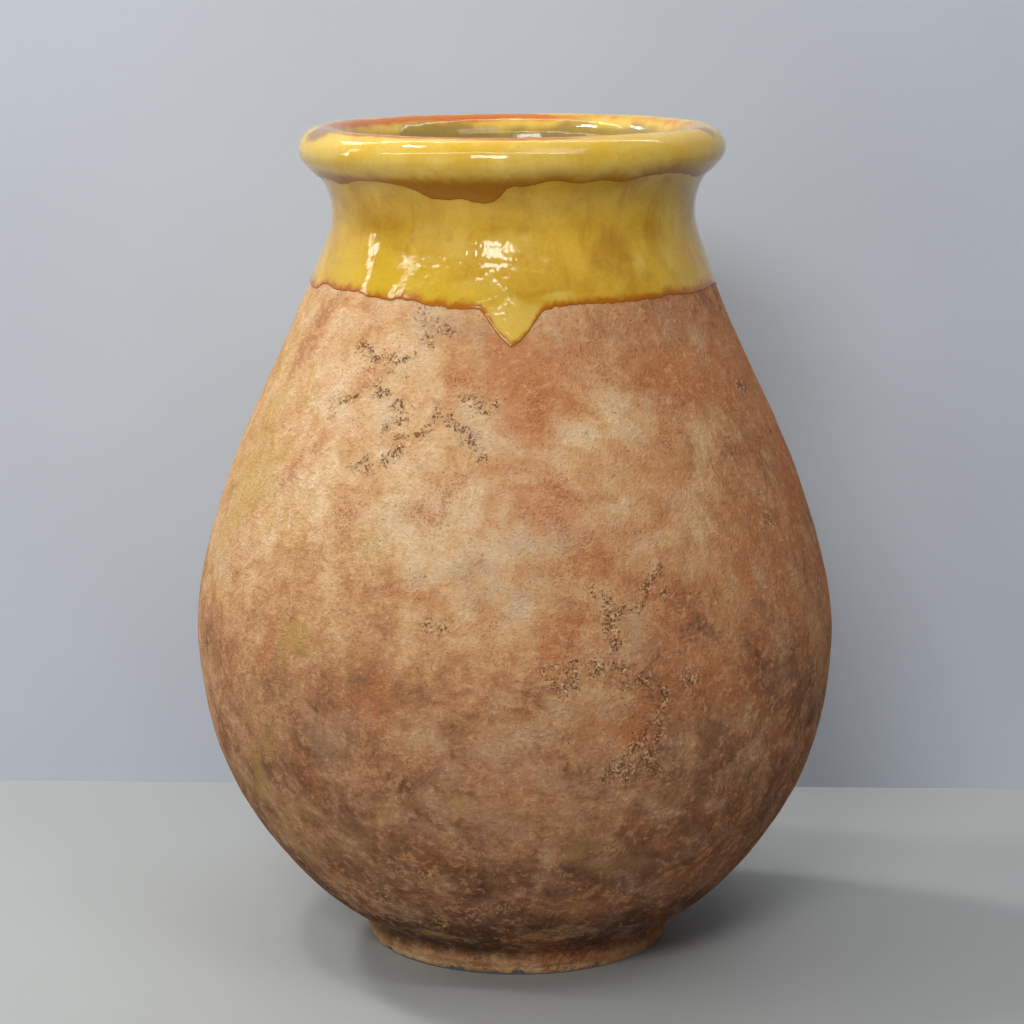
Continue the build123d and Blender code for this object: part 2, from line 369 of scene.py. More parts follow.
def clayDetail(points):
    # Turning lines, grain and pits, and how torn and how deep each point is.
    skin = claySkin
    lines = cloud(points * (0.10, 0.10, 1), skin["lineSize"], 3) * skin["line"]
    grain = clouds(points, [(size, skin["grain"]) for size in skin["grainSizes"]], 4)
    torn = trailed(points, allTrails, [clouds(points, skin["wander"], seed) for seed in (6, 11)])
    torn *= eased(*skin["tornGaps"], cloud(points, skin["tornPatch"], 12))
    holes = cloud(points, skin["pitSize"], 8) + skin["smallPits"] * cloud(points, skin["pitSize"] / 2, 9)
    clumps = skin["pitClumps"] * cloud(points, skin["clumpSize"], 10)
    pitted = eased(*skin["pitFrom"], holes + skin["pitTorn"] * torn + clumps * torn)
    relief = lines + grain + torn * cloud(points, skin["tornGrainSize"], 13) * skin["tornGrain"]
    return relief - pitted * skin["pitDepth"], torn, pitted


# Stains in the fired clay, laid where they show: angle, height, half width, half height, strength.
stains = {
    "pale": [
        (-13, 577, 64, 37, 0.45), (-35, 553, 37, 20, 0.75), (-23, 514, 29, 18, 0.8), (-38, 475, 43, 30, 0.55),
        (-6, 548, 30, 18, 0.6), (-13, 450, 50, 36, 0.8), (-16, 495, 60, 34, 0.6), (-5, 366, 43, 34, 0.55),
        (-20, 362, 11, 21, 0.6), (14, 215, 46, 31, 0.6), (-48, 583, 46, 13, 0.6), (23, 395, 27, 23, 0.4),
        (-16, 400, 18, 13, 0.6), (11, 522, 36, 26, 0.45), (-56, 409, 42, 54, 0.35), (23, 550, 39, 23, 0.35),
        (-7, 285, 29, 21, 0.4), (6, 175, 52, 26, 0.3), (2, 492, 50, 34, 0.8), (4, 448, 44, 22, 0.5),
        (27, 470, 46, 46, 0.5), (-1, 516, 40, 30, 0.4),
    ],
    "rust": [
        (4, 579, 46, 52, 0.8), (-7, 615, 27, 20, 0.6), (-50, 631, 49, 15, 0.6), (-49, 512, 25, 27, 0.6),
        (-60, 378, 25, 55, 0.6), (-48, 346, 16, 13, 0.9), (-59, 332, 14, 64, 0.6), (52, 590, 75, 40, 0.7),
        (7, 481, 37, 33, 0.35), (19, 283, 37, 21, 0.7), (-24, 306, 32, 23, 0.7), (16, 445, 36, 24, 0.5),
        (-29, 206, 50, 26, 0.4), (71, 471, 37, 56, 0.6), (29, 505, 50, 30, 0.4), (-54, 609, 31, 28, 0.5),
        (-12, 378, 18, 12, 0.6), (31, 302, 61, 30, 0.5), (-1, 502, 23, 26, 0.25), (51, 413, 43, 63, 0.4),
        (-40, 236, 46, 27, 0.5), (-6, 237, 43, 21, 0.4), (8, 366, 23, 17, 0.5),
    ],
    "umber": [
        (-23, 316, 38, 21, 0.6), (-3, 322, 19, 12, 0.6), (-39, 291, 68, 35, 0.4), (40, 341, 81, 97, 0.45),
        (-63, 518, 24, 13, 0.6), (-65, 614, 22, 28, 0.5), (22, 307, 47, 35, 0.4), (-1, 353, 34, 9, 0.3),
        (36, 200, 98, 53, 0.5), (10, 128, 107, 21, 0.5), (-22, 157, 57, 26, 0.4), (-60, 316, 15, 36, 0.4),
        (27, 618, 61, 20, 0.35), (-12, 320, 53, 26, 0.35), (54, 280, 30, 54, 0.4), (-40, 142, 35, 27, 0.5),
        (66, 190, 60, 110, 0.6), (-68, 120, 50, 60, 0.5),
        (-66, 345, 22, 40, 0.6), (-52, 300, 26, 18, 0.5), (-16, 210, 40, 14, 0.45), (30, 262, 44, 16, 0.45),
        (0, 262, 26, 10, 0.3), (44, 392, 26, 30, 0.3), (-30, 258, 30, 14, 0.4),
    ],
    "olive": [
        (-52, 182, 38, 40, 0.7), (-39, 349, 27, 19, 0.6), (-51, 627, 18, 15, 0.6), (4, 279, 29, 12, 0.55),
        (-71, 447, 27, 37, 0.4), (-25, 47, 30, 7, 0.7), (8, 68, 40, 7, 0.5), (20, 431, 28, 17, 0.4),
        (-67, 483, 34, 28, 0.4), (-32, 426, 41, 26, 0.35), (8, 400, 35, 14, 0.3),
        (-68, 560, 60, 90, 0.45), (-66, 440, 46, 90, 0.45), (-52, 500, 40, 60, 0.4), (30, 52, 90, 12, 0.4),
        (-20, 215, 60, 28, 0.5), (36, 250, 50, 40, 0.5), (-46, 252, 40, 40, 0.45), (14, 150, 80, 24, 0.5),
        (12, 330, 30, 18, 0.4), (52, 330, 30, 60, 0.4), (-30, 130, 60, 24, 0.5), (44, 520, 24, 40, 0.35),
    ],
    "mauve": [
        (-16, 635, 41, 13, 0.7), (39, 630, 70, 16, 0.5), (-2, 401, 38, 22, 0.5), (8, 312, 40, 17, 0.4),
        (-32, 272, 52, 26, 0.4), (15, 236, 36, 24, 0.5), (-9, 544, 18, 11, 0.4), (16, 615, 37, 18, 0.5),
        (22, 361, 28, 21, 0.5), (-6, 186, 52, 21, 0.35), (-3, 262, 60, 30, 0.5), (4, 440, 60, 30, 0.4),
    ],
}
# The clay is darker towards the foot, with painted shade deepest in the crease just above it; painted light
# makes it palest at the shoulder on its left, and painted shade darkens its right side.
claySettle = {
    "levels": [0, 0.012, 0.032, 0.048, 0.068, 0.10, 0.16, 0.25, 0.33, 0.42, 0.55, 0.65],
    "tones": [-0.08, -0.14, -0.54, -0.64, -0.48, -0.26, -0.19, -0.13, -0.05, 0.03, 0.05, 0.02],
    "paintedLitSide": 0.075, "paintedLitSideTurn": 0.6, "farShade": 0.11, "pale": 0.16, "umber": 0.15,
    "redGround": 0.04, "red": 0.42, "redSide": 1.1, "grey": 0.16,
}
# For the sides and the back: count, seed, then the ranges of half width, half height and strength.
backStains = {
    "pale": (26, 11, (18, 64), (14, 40), (0.35, 0.8)),
    "rust": (30, 12, (14, 60), (14, 58), (0.4, 0.85)),
    "umber": (22, 13, (16, 84), (12, 60), (0.35, 0.6)),
    "olive": (16, 14, (14, 42), (10, 40), (0.3, 0.65)),
    "mauve": (16, 15, (18, 62), (12, 30), (0.35, 0.65)),
}


def clayStains(points):
    # How light the clay is, how red or olive, and how greyed, with edges that wander.
    wander = wandering(points, 22, 9, 20)
    marks = {name: spotted(points, places + scatteredMarks(*backStains[name]), wander, 0.8)
             for name, places in stains.items()}
    level, angle = points[..., 2], np.arctan2(points[..., 0], -points[..., 1])
    # darker towards the foot; the deep dip just above the foot is painted shade in the crease
    tone = np.interp(level, claySettle["levels"], claySettle["tones"])
    # painted light and shade: lighter on the upper left, which faces the lamps, and darker round the right side
    tone += claySettle["paintedLitSide"] * np.cos(angle + claySettle["paintedLitSideTurn"]) * eased(0.30, 0.48, level)
    tone -= claySettle["farShade"] * eased(0.35, 1.35, angle) * (1 - eased(1.8, 2.4, angle))
    reddened = claySettle["redGround"] + claySettle["red"] * np.cos(angle - claySettle["redSide"])
    greyed = claySettle["grey"] * (1 - eased(0.20, 0.40, level))
    tone += claySettle["pale"] * marks["pale"] - claySettle["umber"] * marks["umber"]
    return {"tone": tone, "flush": marks["rust"] - marks["olive"] + reddened, "mauve": marks["mauve"] + greyed}


def gridNormals(points):
    # Outward normals of a ring-shaped grid, from its neighbours.
    aroundWay = np.roll(points, -1, axis=1) - np.roll(points, 1, axis=1)
    normal = np.cross(aroundWay, np.gradient(points, axis=0))
    return normal / np.linalg.norm(normal, axis=-1, keepdims=True)


# How a piece is laid flat to be coloured: the shown skin in strips, the rest in one narrow band, then the fans.
flat = {
    "strips": 0.93, "gap": 0.01, "used": 0.98, "rest": 0.94, "restHeight": 0.05,
    "fans": 0.991, "fanStep": 0.004, "fanHeight": 0.003, "margin": 0.005,
}


def laidFlat(below, columns, shownRows, folds, fans):
    # The place on the flat sheet of every corner of every face.
    column = np.arange(columns)
    perFold = columns // folds
    strip = column // perFold
    leftU = (column % perFold) / perFold
    rightU = leftU + 1 / perFold
    shownU = np.stack([leftU, rightU, rightU, leftU], axis=-1)
    hiddenU = np.stack([column, column + 1, column + 1, column], axis=-1) / columns
    shown = (below < shownRows - 1)[:, None]
    shownSteps, hiddenSteps = max(shownRows - 1, 1), max(len(below) - shownRows + 1, 1)
    climb = np.where(shown, below[:, None] / shownSteps, (below[:, None] - shownRows + 1) / hiddenSteps)
    lowV = np.where(shown, (strip + flat["gap"] + flat["used"] * climb) / folds * flat["strips"],
                    flat["rest"] + flat["restHeight"] * climb)
    highV = lowV + np.where(shown, flat["used"] / shownSteps / folds * flat["strips"],
                            flat["restHeight"] / hiddenSteps)
    u = np.where(shown[..., None], shownU, hiddenU)
    v = np.stack([lowV, lowV, highV, highV], axis=-1)
    places = [np.stack([u, v], axis=-1).reshape(-1, 2)]
    for k in range(fans):
        low = flat["fans"] + flat["fanStep"] * k
        fan = [[(column + share) / columns, 0 * column + low + rise]
               for share, rise in ((0.5, flat["fanHeight"]), (0, 0), (1, 0))]
        places.append(np.array(fan).transpose(2, 0, 1).reshape(-1, 2))
    return np.clip(flat["margin"] + (1 - 2 * flat["margin"]) * np.concatenate(places), 0, 1)


def turnedPiece(name, rings, shownRows, closed=True, firstPole=None, lastPole=None,
                cornerRings=(), edgeNormals=None, attributes=None, folds=3):
    # A solid of rings round the jar. The first rows show, and the rest close it out of sight.
    rows, columns = rings.shape[:2]
    points = settled(rings).reshape(-1, 3)
    below = np.arange(rows if closed else rows - 1)
    above = (below + 1) % rows
    column = np.arange(columns)
    nextColumn = (column + 1) % columns
    quads = np.stack([
        below[:, None] * columns + column, below[:, None] * columns + nextColumn,
        above[:, None] * columns + nextColumn, above[:, None] * columns + column,
    ], axis=-1).reshape(-1, 4)
    corners = [quads.ravel()]
    starts = [np.arange(len(quads)) * 4]
    poles = []
    for pole, row in ((firstPole, 0), (lastPole, rows - 1)):
        if pole is None:
            continue
        middle = len(points) + len(poles)
        poles.append(pole)
        base = row * columns
        pair = (base + nextColumn, base + column) if row == 0 else (base + column, base + nextColumn)
        fan = np.stack([np.full(columns, middle), *pair], axis=-1)
        starts.append(sum(len(part) for part in corners) + np.arange(columns) * 3)
        corners.append(fan.ravel())
    if poles:
        points = np.concatenate([points, settled(np.array(poles, float))])
    corner = np.concatenate(corners).astype(np.int32)
    start = np.concatenate(starts).astype(np.int32)
    mesh = bpy.data.meshes.new(name)
    mesh.vertices.add(len(points))
    mesh.vertices.foreach_set("co", points.astype(np.float32).ravel())
    mesh.loops.add(len(corner))
    mesh.loops.foreach_set("vertex_index", corner)
    mesh.polygons.add(len(start))
    mesh.polygons.foreach_set("loop_start", start)
    mesh.update(calc_edges=True)
    mesh.shade_smooth()
    uv = laidFlat(below, columns, shownRows, folds, len(poles))
    layer = mesh.uv_layers.new(name="OFBake")
    layer.data.foreach_set("uv", uv.astype(np.float32).ravel())
    for label, values in (attributes or {}).items():
        full = np.zeros(len(points), np.float32)
        full[:values.size] = values.ravel()
        mesh.attributes.new(label, "FLOAT", "POINT").data.foreach_set("value", full)
    if len(cornerRings):
        ends = np.zeros(len(mesh.edges) * 2, np.int32)
        mesh.edges.foreach_get("vertices", ends)
        ringOf = (ends // columns).reshape(-1, 2)
        inRing = ends.reshape(-1, 2).max(axis=1) < rows * columns
        sharp = inRing & (ringOf[:, 0] == ringOf[:, 1]) & np.isin(ringOf[:, 0], cornerRings)
        mesh.attributes.new("sharp_edge", "BOOLEAN", "EDGE").data.foreach_set("value", sharp)
    if edgeNormals is not None:
        normals = np.zeros((len(corner), 3), np.float32)
        bottom = np.arange(columns) * 4
        normals[bottom], normals[bottom + 1] = edgeNormals[0], np.roll(edgeNormals[0], -1, axis=0)
        top = ((shownRows - 2) * columns + np.arange(columns)) * 4
        normals[top + 3], normals[top + 2] = edgeNormals[1], np.roll(edgeNormals[1], -1, axis=0)
        mesh.normals_split_custom_set(normals)
    piece = bpy.data.objects.new(name, mesh)
    bpy.context.scene.collection.objects.link(piece)
    return piece


def turnsOf(columns):
    return np.arange(columns)[None] * 2 * pi / columns


def ring(turn, radius, level):
    # One plain ring at a radius and a level.
    radius = np.broadcast_to(radius, turn.shape)
    level = np.broadcast_to(level, turn.shape)
    return np.stack([radius * np.sin(turn), -radius * np.cos(turn), level], axis=-1)


def rowsBetween(low, high, step):
    return np.linspace(low, high, max(2, int(round((high - low) / step)) + 1))


def claySection(name, node, lowReach, highReach, reaches=None):
    # One thrown section: its skin, the keyed seams at both ends and the wall's plain inside.
    turn = turnsOf(jar["columns"])
    rows = rowsBetween(lowReach, highReach, jar["rowStep"]) if reaches is None else reaches
    step = rows[1] - rows[0]
    lastStep = rows[-1] - rows[-2]
    reach = np.concatenate([[rows[0] - step], rows, [rows[-1] + lastStep]])[:, None]
    plain = placed(turn, reach, 0 * turn)
    detail, torn, pitted = clayDetail(plain)
    skin = placed(turn, reach, clayShape(plain) + detail)
    normals = gridNormals(settled(skin))
    wall, ridge = jar["wall"], jar["seamRidge"]
    hidden = []
    inner = rowsBetween(lowReach, highReach, jar["innerStep"])[::-1]
    if highReach < mouthReach:
        hidden.append(ringAt(turn, highReach + ridge, -wall / 2))
    inside = [ringAt(turn, r, -wall) for r in inner]
    if lowReach <= creaseReach:
        inside[-1] = ring(turn, jar["floorEdge"], jar["footHeight"])
        middle = (jar["floorEdge"] + jar["creaseRadius"]) / 2
        lowRidge = ring(turn, middle, jar["footHeight"] + ridge)
    else:
        lowRidge = ringAt(turn, lowReach + ridge, -wall / 2)
    hidden += inside + [lowRidge]
    rings = np.concatenate([skin[1:-1], *hidden])
    shownRows = len(rows)
    marks = {"torn": torn[1:-1], "pitted": pitted[1:-1], **clayStains(plain[1:-1])}
    piece = turnedPiece(name, rings, shownRows, cornerRings=[0, *range(shownRows - 1, len(rings))],
                        edgeNormals=(normals[1], normals[-2]), attributes=marks)
    piece.data.materials.append(firedClay)
    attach(piece, "root")
    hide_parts(node)
    print("%s: %d rings" % (name, len(rings)))


def feed(tree, socket, value):
    if isinstance(value, bpy.types.NodeSocket):
        tree.links.new(value, socket)
    else:
        socket.default_value = value


def paint(red, green, blue):
    # A colour as it looks on screen, 0 to 255, turned into the shader's own numbers.
    shares = np.array([red, green, blue]) / 255
    return (*np.where(shares <= 0.04045, shares / 12.92, ((shares + 0.055) / 1.055) ** 2.4), 1)


def maths(tree, how, first, second=0.0, third=0.0):
    node = tree.nodes.new("ShaderNodeMath")
    node.operation = how
    for socket, value in zip(node.inputs, (first, second, third)):
        feed(tree, socket, value)
    return node.outputs[0]


def mixed(tree, share, first, second, how="MIX"):
    node = tree.nodes.new("ShaderNodeMix")
    node.data_type = "RGBA"
    node.blend_type = how
    feed(tree, node.inputs[0], share)
    feed(tree, node.inputs[6], first)
    feed(tree, node.inputs[7], second)
    return node.outputs[2]


def ramped(tree, value, low, high, first=0.0, last=1.0):
    node = tree.nodes.new("ShaderNodeMapRange")
    node.interpolation_type = "SMOOTHSTEP"
    for label, setting in (("Value", value), ("From Min", low), ("From Max", high),
                           ("To Min", first), ("To Max", last)):
        feed(tree, node.inputs[label], setting)
    return node.outputs[0]


def mottle(tree, where, size, detail=4.0, roughness=0.55, distortion=0.0, stretch=None):
    # Noise with patches of the given size in metres.
    if stretch:
        mapping = tree.nodes.new("ShaderNodeMapping")
        feed(tree, mapping.inputs["Vector"], where)
        mapping.inputs["Scale"].default_value = stretch
        where = mapping.outputs[0]
    node = tree.nodes.new("ShaderNodeTexNoise")
    feed(tree, node.inputs["Vector"], where)
    for label, setting in (("Scale", 1 / size), ("Detail", detail), ("Roughness", roughness),
                           ("Distortion", distortion)):
        node.inputs[label].default_value = setting
    return node.outputs["Fac"]


def mark(tree, label):
    node = tree.nodes.new("ShaderNodeAttribute")
    node.attribute_name = label
    return node.outputs["Fac"]


def newFinish(name):
    material = bpy.data.materials.new(name)
    material.use_nodes = True
    tree = material.node_tree
    where = tree.nodes.new("ShaderNodeTexCoord").outputs["Object"]
    return material, tree, tree.nodes["Principled BSDF"], where


def bumped(tree, height, distance, strength=1.0):
    node = tree.nodes.new("ShaderNodeBump")
    node.inputs["Strength"].default_value = strength
    node.inputs["Distance"].default_value = distance
    feed(tree, node.inputs["Height"], height)
    return node.outputs[0]


def tinted(tree, colour, share, low, high, most, tone):
    # More of a tone, up to most of it, as the share goes from low to high.
    return mixed(tree, ramped(tree, share, low, high, 0, most), colour, paint(*tone))


clayLook = {
    # from the darkest tone to the lightest
    "tones": [(0.0, (98, 66, 48)), (0.25, (150, 104, 74)), (0.45, (196, 142, 98)), (0.62, (220, 173, 122)),
              (0.85, (238, 208, 166))],
    "middle": 0.525, "rust": (196, 120, 72), "olive": (200, 162, 90), "mauve": (188, 150, 122),
    "pitBrownAndShade": (126, 76, 42), "crumbHighlight": (240, 200, 150), "chalk": (240, 210, 168), "crumb": (236, 184, 132),
    "freckle": (150, 90, 56),
    "roughness": 0.92, "shine": 0.22,
}


def toneRamp(tree, value, stops):
    node = tree.nodes.new("ShaderNodeValToRGB")
    feed(tree, node.inputs["Fac"], value)
    ramp = node.color_ramp
    while len(ramp.elements) < len(stops):
        ramp.elements.new(0.5)
    for element, (place, colour) in zip(ramp.elements, stops):
        element.position = place
        element.color = paint(*colour)
    return node.outputs["Color"]


def totalled(tree, base, *parts):
    # The base plus each noise's swing about its middle.
    total = base
    for noise, weight in parts:
        total = maths(tree, "ADD", total, maths(tree, "MULTIPLY_ADD", noise, weight, -weight / 2))
    return total


def makeFiredClay():
    look = clayLook
    material, tree, shader, where = newFinish("firedClay")
    broad = mottle(tree, where, 0.090, 4, 0.55, 0.5)
    wisp = mottle(tree, where, 0.034, 5, 0.58, 0.6)
    brushed = mottle(tree, where, 0.012, 4, 0.6, 1.0)
    patch = mottle(tree, where, 0.052, 6, 0.60, 0.6)
    streak = mottle(tree, where, 0.018, 4, 0.6, 0.3, (1, 1, 0.22))
    fine = mottle(tree, where, 0.0042, 3, 0.6, 0.2)
    speck = mottle(tree, where, 0.0017, 2, 0.6)
    turning = mottle(tree, where, 0.0075, 3, 0.6, 0.0, (0.06, 0.06, 1))
    middle = maths(tree, "ADD", mark(tree, "tone"), look["middle"])
    tone = totalled(tree, middle, (broad, 0.54), (wisp, 0.74), (brushed, 0.38), (fine, 0.26), (turning, 0.16))
    colour = toneRamp(tree, tone, look["tones"])
    flush = totalled(tree, mark(tree, "flush"), (patch, 3.2), (brushed, 1.3), (streak, 0.8), (fine, 0.5))
    colour = tinted(tree, colour, flush, -0.05, 1.30, 0.80, look["rust"])
    colour = tinted(tree, colour, flush, -0.15, -1.2, 0.60, look["olive"])
    greyed = totalled(tree, mark(tree, "mauve"), (wisp, 2.6))
    colour = tinted(tree, colour, greyed, 0.05, 1.0, 0.60, look["mauve"])
    chalky = totalled(tree, fine, (wisp, 0.9))
    colour = tinted(tree, colour, chalky, 0.62, 0.80, 0.22, look["chalk"])
    crumbs = totalled(tree, mottle(tree, where, 0.0075, 3, 0.6, 0.2), (patch, 0.7), (brushed, 0.5))
    colour = tinted(tree, colour, crumbs, 0.56, 0.68, 0.36, look["crumb"])
    freckled = totalled(tree, speck, (patch, 0.9), (fine, 0.4))
    colour = tinted(tree, colour, freckled, 0.60, 0.74, 0.62, look["freckle"])
    shade = totalled(tree, 1.0, (fine, 0.27), (speck, 0.46))
    colour = mixed(tree, 1.0, colour, shade, "MULTIPLY")
    # torn clay: brown pinholes, partly painted shade, among pale crumbs with painted highlights, thickest along
    # the middle of each trail
    torn = maths(tree, "MULTIPLY", mark(tree, "torn"), maths(tree, "MULTIPLY_ADD", brushed, 1.6, 0.2))
    colour = tinted(tree, colour, torn, 0.1, 1.0, 0.22, look["freckle"])
    # painted highlight: pale flecks on the crumbs of the torn clay
    crumbHighlights = mottle(tree, where, 0.0036, 2, 0.6, 0.5)
    litCrumbs = maths(tree, "MULTIPLY", torn, ramped(tree, crumbHighlights, 0.50, 0.60))
    colour = mixed(tree, maths(tree, "MULTIPLY", litCrumbs, 0.85), colour, paint(*look["crumbHighlight"]))
    # the pinholes and pits are darkened to brown: partly the clay in them, partly painted shade in the holes
    pinholes = mottle(tree, where, 0.0024, 2, 0.6)
    small = ramped(tree, maths(tree, "MULTIPLY_ADD", torn, 0.16, pinholes), 0.68, 0.76)
    pitsBrownAndShaded = maths(tree, "MAXIMUM", maths(tree, "MULTIPLY", small, 0.85),
                 ramped(tree, mark(tree, "pitted"), 0.15, 0.9, 0, 0.80))
    colour = mixed(tree, pitsBrownAndShaded, colour, paint(*look["pitBrownAndShade"]))
    feed(tree, shader.inputs["Base Color"], colour)
    shader.inputs["Roughness"].default_value = look["roughness"]
    shader.inputs["Specular IOR Level"].default_value = look["shine"]
    rough = totalled(tree, 0.5, (fine, 1.1), (speck, 0.80), (brushed, 0.6), (crumbs, 0.5), (turning, 0.35))
    rough = maths(tree, "MULTIPLY_ADD", small, -0.7, maths(tree, "MULTIPLY_ADD", litCrumbs, 0.4, rough))
    feed(tree, shader.inputs["Normal"], bumped(tree, rough, 0.0016))
    return material


firedClay = makeFiredClay()
print("fired clay mixed")


glazeLook = {
    "honey": (222, 179, 64), "olive": (208, 162, 50), "lemon": (212, 176, 50), "amber": (158, 92, 12),
    "brownEdge": (176, 94, 18), "speck": (110, 66, 24), "straw": (228, 194, 92),
    "burnt": (190, 92, 22), "mauve": (132, 94, 80), "khaki": (150, 127, 76),
    "shine": 0.40, "pooledShine": 0.12,
}


def makeGlaze(name, ground, second, roughness, streaked):
    look = glazeLook
    material, tree, shader, where = newFinish(name)
    broad = mottle(tree, where, 0.060, 4, 0.55, 0.8)
    medium = mottle(tree, where, 0.020, 5, 0.6, 1.0)
    streak = mottle(tree, where, 0.016, 4, 0.6, 0.5, (1, 1, 0.28))
    fine = mottle(tree, where, 0.004, 4, 0.6)
    speck = mottle(tree, where, 0.0021, 2, 0.5)
    colour = tinted(tree, paint(*look[ground]), broad, 0.36, 0.64, 1, look[second])
    colour = tinted(tree, colour, streak, 0.48, 0.72, streaked, look["amber"])
    colour = tinted(tree, colour, medium, 0.56, 0.76, 0.35, look["straw"])
    for label, tone, most in (("straw", "straw", 0.7), ("lemon", "lemon", 0.8), ("amber", "amber", 0.85),
                              ("mauve", "mauve", 0.75), ("burnt", "burnt", 0.9), ("inner", "khaki", 0.8)):
        ragged = totalled(tree, mark(tree, label), (medium, 0.8))
        colour = tinted(tree, colour, ragged, 0.12, 0.85, most, look[tone])
    colour = mixed(tree, 1.0, colour, totalled(tree, 1.0, (fine, 0.20), (medium, 0.24)), "MULTIPLY")
    colour = tinted(tree, colour, speck, 0.70, 0.76, 0.7, look["speck"])
    ragged = totalled(tree, mark(tree, "rimmed"), (medium, 1.1))
    colour = tinted(tree, colour, ragged, 0.25, 0.8, 0.9, look["brownEdge"])
    feed(tree, shader.inputs["Base Color"], colour)
    feed(tree, shader.inputs["Roughness"], ramped(tree, medium, 0.3, 0.8, roughness, roughness + 0.08))
    feed(tree, shader.inputs["Specular IOR Level"],
         ramped(tree, mark(tree, "amber"), 0.3, 1.0, look["shine"], look["pooledShine"]))
    swell = mottle(tree, where, 0.014, 2, 0.4)
    peel = mottle(tree, where, 0.0035, 2, 0.5)
    height = maths(tree, "MULTIPLY_ADD", swell, 0.6, maths(tree, "MULTIPLY", peel, 0.12))
    feed(tree, shader.inputs["Normal"], bumped(tree, height, 0.0012, 0.5))
    return material


neckFinish = makeGlaze("yellowGlaze", "olive", "honey", 0.05, 0.26)
rimFinish = makeGlaze("honeyGlaze", "honey", "straw", 0.05, 0.10)
liningFinish = makeGlaze("liningGlaze", "khaki", "olive", 0.12, 0.30)
print("glazes mixed")

seamReaches = [creaseReach, *(reachAt(level) for level in jar["seams"])]


def makeFoot():
    # The foot's slab, turned true below, with a chipped standing edge, and painted light on the band low on its
    # side.
    foot = {
        "paintedLitBand": 0.30, "chipDepth": 0.0032, "chipSize": 0.017, "wobble": 0.0008, "toolLine": 0.0003,
        "underFrom": 0.004, "underTo": 0.105, "underRows": 46, "sideFrom": 0.107, "sideStep": 0.0011,
        "topFrom": 0.05,
    }
    turn = turnsOf(jar["columns"])
    underRows = np.linspace(foot["underFrom"], foot["underTo"], foot["underRows"])
    rows = np.concatenate([underRows, rowsBetween(foot["sideFrom"], creaseReach, foot["sideStep"])])
    reach = np.concatenate([[rows[0] - 0.001], rows, [rows[-1] + foot["sideStep"]]])[:, None]
    plain = placed(turn, reach, 0 * turn)
    detail, torn, pitted = clayDetail(plain)
    level = plain[..., 2]
    radius = np.hypot(plain[..., 0], plain[..., 1])
    outside = eased(0.128, 0.142, radius)
    below = 1 - outside
    # chips bite the standing edge where a broad noise rises, each with a broken face
    edgeNear = np.exp(-((level / 0.0085) ** 2)) * eased(0.130, 0.146, radius)
    bite = eased(0.12, 0.55, cloud(plain * (1, 1, 0.4), foot["chipSize"], 61))
    bite = np.maximum(bite, eased(0.25, 0.6, cloud(plain * (1, 1, 0.5), foot["chipSize"] * 0.4, 62)) * 0.5)
    chips = edgeNear * bite * foot["chipDepth"] * (0.8 + 0.4 * cloud(plain, 0.004, 63))
    wobble = cloud(plain * (1, 1, 0.2), 0.06, 64) * foot["wobble"] * outside
    lines = np.sin(radius / 0.0021 + 2 * cloud(plain, 0.05, 65)) * foot["toolLine"] * 0.5 * below
    bands = cloud(plain * (0.05, 0.05, 1), 0.0042, 66) * foot["toolLine"] * outside
    offset = clayShape(plain) * outside + detail + wobble + lines + bands - chips
    skin = placed(turn, reach, offset)
    skin[..., 2] = np.maximum(skin[..., 2], 0.0002 + 0.0001 * cloud(plain, 0.01, 67))
    normals = gridNormals(settled(skin))
    middle = (jar["floorEdge"] + jar["creaseRadius"]) / 2
    top = jar["footHeight"]
    hidden = [ring(turn, middle, top + jar["seamRidge"]), ring(turn, jar["floorEdge"], top),
              ring(turn, foot["topFrom"], top)]
    rings = np.concatenate([skin[1:-1], *hidden])
    marks = {"torn": np.maximum(torn, chips / foot["chipDepth"] * 0.5)[1:-1], "pitted": pitted[1:-1],
             **clayStains(plain[1:-1])}
    # painted light: the band low on the foot's outside is lightened
    paintedLitBand = outside * (1 - eased(0.008, 0.021, level + 0.004 * cloud(plain, 0.02, 68)))
    marks["tone"] = marks["tone"] + foot["paintedLitBand"] * (paintedLitBand * (0.8 + 0.5 * cloud(plain, 0.012, 69)))[1:-1]
    shownRows = len(rows)
    piece = turnedPiece("footRing", rings, shownRows, closed=False, firstPole=(0, 0, jar["dishDepth"]),
                        lastPole=(0, 0, top), cornerRings=[shownRows - 1, shownRows, shownRows + 1],
                        attributes=marks)
    piece.data.materials.append(firedClay)
    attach(piece, "root")
    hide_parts("foot_slab")
    print("foot turned")


makeFoot()
claySection("lowerBelly", "lower_belly", seamReaches[0], seamReaches[1])
claySection("upperBelly", "upper_belly", seamReaches[1], seamReaches[2])
claySection("shoulderWall", "shoulder", seamReaches[2], seamReaches[3])
collarRows = np.concatenate([rowsBetween(seamReaches[3], seamReaches[3] + 0.028, jar["rowStep"]),
                             rowsBetween(seamReaches[3] + 0.032, seamReaches[4], 0.004)])
claySection("neckCollar", "neck_collar", seamReaches[3], seamReaches[4], collarRows)
claySection("rimRoll", "rim_roll", seamReaches[4], mouthReach, rowsBetween(seamReaches[4], mouthReach, 0.003))

